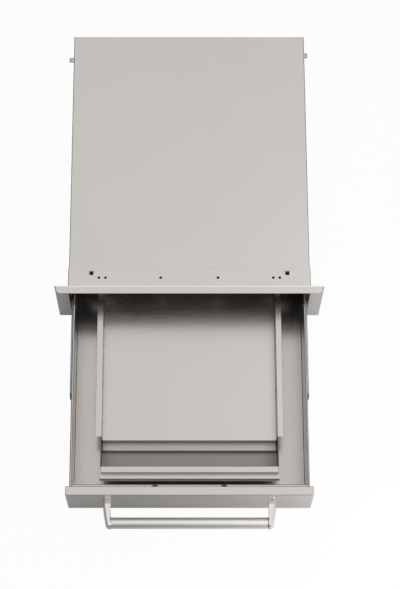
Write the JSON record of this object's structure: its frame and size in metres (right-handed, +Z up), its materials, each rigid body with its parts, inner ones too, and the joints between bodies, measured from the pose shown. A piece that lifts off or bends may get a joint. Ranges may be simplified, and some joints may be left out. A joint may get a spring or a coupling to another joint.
{
  "type": "outdoor kitchen drawer unit",
  "caption": "Built-in outdoor kitchen drawer: flanged face with rain visor, box housing, drawer on telescopic ball-bearing slides, inset pan with sliding tray, bar handle.",
  "frame": {"origin": "centre of the underside of the housing floor", "axes": "+X to the right seen from the front, -Y the way the drawer opens, +Z up"},
  "size_m": [0.61, 1.1847, 0.1975],
  "materials": {
    "shell_steel": "brushed stainless sheet",
    "frame_steel": "brushed stainless sheet",
    "drawer_steel": "brushed stainless sheet",
    "pan_steel": "satin stainless sheet",
    "zinc_steel": "bluish zinc plating",
    "ball_steel": "ground bearing steel",
    "polished_steel": "fine polished stainless",
    "dark_plastic": "moulded"
  },
  "bodies": {
    "housing": {"housing_shell": "shell_steel", "housing_floor": "shell_steel", "housing_back": "shell_steel", "face_frame": "frame_steel", "frame_collar": "frame_steel", "rain_visor": "frame_steel", "slide_outer_left": "zinc_steel", "slide_outer_right": "zinc_steel", "slide_rear_bracket_left": "zinc_steel", "slide_rear_bracket_right": "zinc_steel"},
    "slide_middle_member_left": {"slide_middle_left": "zinc_steel", "slide_bumper_left": "dark_plastic"},
    "outer_cage_left": {"ball_cage_outer_left": "ball_steel"},
    "inner_cage_left": {"ball_cage_inner_left": "ball_steel"},
    "slide_middle_member_right": {"slide_middle_right": "zinc_steel", "slide_bumper_right": "dark_plastic"},
    "outer_cage_right": {"ball_cage_outer_right": "ball_steel"},
    "inner_cage_right": {"ball_cage_inner_right": "ball_steel"},
    "drawer": {"drawer_front": "drawer_steel", "drawer_inner_front": "drawer_steel", "drawer_tub": "drawer_steel", "drawer_back": "drawer_steel", "slide_inner_left": "zinc_steel", "slide_inner_right": "zinc_steel", "pan_tub": "pan_steel", "pan_front": "pan_steel", "pan_back": "pan_steel", "handle_bar": "polished_steel", "handle_post_left": "polished_steel", "handle_post_right": "polished_steel", "handle_screw_left": "zinc_steel", "handle_screw_right": "zinc_steel"},
    "tray": {"tray_channel": "pan_steel", "tray_front_step": "pan_steel"}
  },
  "joints": [
    {"name": "drawer_slide", "type": "slide", "parent": "housing", "child": "drawer", "axis": [0, -1, 0], "range_m": [-0.472, 0.078]},
    {"name": "middle_member_slide_left", "type": "slide", "parent": "housing", "child": "slide_middle_member_left", "axis": [0, -1, 0], "range_m": [-0.236, 0.039]},
    {"name": "outer_cage_roll_left", "type": "slide", "parent": "housing", "child": "outer_cage_left", "axis": [0, -1, 0], "range_m": [-0.118, 0.0195]},
    {"name": "inner_cage_roll_left", "type": "slide", "parent": "housing", "child": "inner_cage_left", "axis": [0, -1, 0], "range_m": [-0.354, 0.0585]},
    {"name": "middle_member_slide_right", "type": "slide", "parent": "housing", "child": "slide_middle_member_right", "axis": [0, -1, 0], "range_m": [-0.236, 0.039]},
    {"name": "outer_cage_roll_right", "type": "slide", "parent": "housing", "child": "outer_cage_right", "axis": [0, -1, 0], "range_m": [-0.118, 0.0195]},
    {"name": "inner_cage_roll_right", "type": "slide", "parent": "housing", "child": "inner_cage_right", "axis": [0, -1, 0], "range_m": [-0.354, 0.0585]},
    {"name": "tray_slide", "type": "slide", "parent": "drawer", "child": "tray", "axis": [0, -1, 0], "range_m": [-0.05, 0.047]}
  ],
  "couplings": [
    {"joint": "middle_member_slide_left", "follows": "drawer_slide", "ratio": 0.5},
    {"joint": "outer_cage_roll_left", "follows": "drawer_slide", "ratio": 0.25},
    {"joint": "inner_cage_roll_left", "follows": "drawer_slide", "ratio": 0.75},
    {"joint": "middle_member_slide_right", "follows": "drawer_slide", "ratio": 0.5},
    {"joint": "outer_cage_roll_right", "follows": "drawer_slide", "ratio": 0.25},
    {"joint": "inner_cage_roll_right", "follows": "drawer_slide", "ratio": 0.75}
  ]
}
